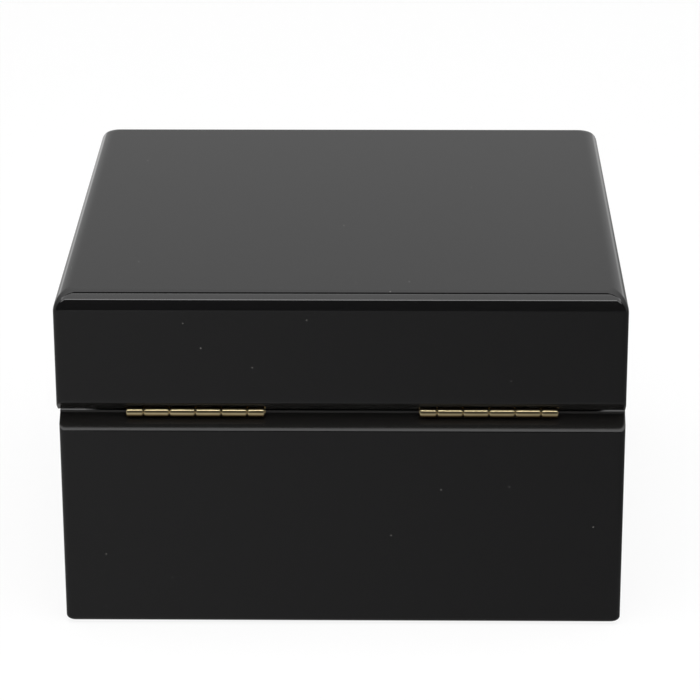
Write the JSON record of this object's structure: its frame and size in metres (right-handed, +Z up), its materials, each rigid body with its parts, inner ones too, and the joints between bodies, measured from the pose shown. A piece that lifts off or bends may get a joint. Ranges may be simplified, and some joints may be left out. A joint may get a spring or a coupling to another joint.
{
  "type": "wooden watch box",
  "caption": "Square lacquered box for one watch: a lined base with a foam insert and a lift-out pillow, and a lid on two butt hinges set in a groove along the back.",
  "frame": {"origin": "middle of the felt's underside, on the surface the box stands on", "axes": "+Z up, +Y towards the hinged back, so the box opens towards -Y; +X to the right seen from the front"},
  "size_m": [0.12, 0.12, 0.0759],
  "materials": {
    "black_lacquer": "high gloss black lacquer over board",
    "black_felt": "flocked sheet",
    "cream_lining": "short-pile velvet on card",
    "cream_cushion": "short-pile velvet over foam",
    "hinge_brass": "polished",
    "screw_brass": "satin",
    "nickel": "nickel plated"
  },
  "bodies": {
    "base": {"base_front_wall": "black_lacquer", "base_back_wall": "black_lacquer", "base_left_wall": "black_lacquer", "base_right_wall": "black_lacquer", "base_bottom_board": "black_lacquer", "base_felt": "black_felt", "base_floor_lining": "cream_lining", "base_front_lining": "cream_lining", "base_back_lining": "cream_lining", "base_left_lining": "cream_lining", "base_right_lining": "cream_lining", "insert_ring": "cream_lining", "base_magnets": "nickel", "hinge_left_base_leaf": "hinge_brass", "hinge_right_base_leaf": "hinge_brass", "hinge_left_pin": "hinge_brass", "hinge_right_pin": "hinge_brass", "hinge_base_screws": "screw_brass"},
    "lid": {"lid_top_board": "black_lacquer", "lid_front_rail": "black_lacquer", "lid_back_rail": "black_lacquer", "lid_left_rail": "black_lacquer", "lid_right_rail": "black_lacquer", "lid_front_lining": "cream_lining", "lid_back_lining": "cream_lining", "lid_left_lining": "cream_lining", "lid_right_lining": "cream_lining", "lid_pad": "cream_cushion", "lid_steel_discs": "nickel", "hinge_left_lid_leaf": "hinge_brass", "hinge_right_lid_leaf": "hinge_brass", "hinge_lid_screws": "screw_brass"},
    "pillow": {"watch_pillow": "cream_cushion"}
  },
  "joints": [
    {"name": "lid_hinge", "type": "hinge", "parent": "base", "child": "lid", "pos_m": [0, 0.0575, 0.04865], "axis": [-1, 0, 0], "range_deg": [0, 95]},
    {"name": "pillow_lift", "type": "slide", "parent": "base", "child": "pillow", "axis": [0, 0, 1], "range_m": [0, 0.013]}
  ]
}
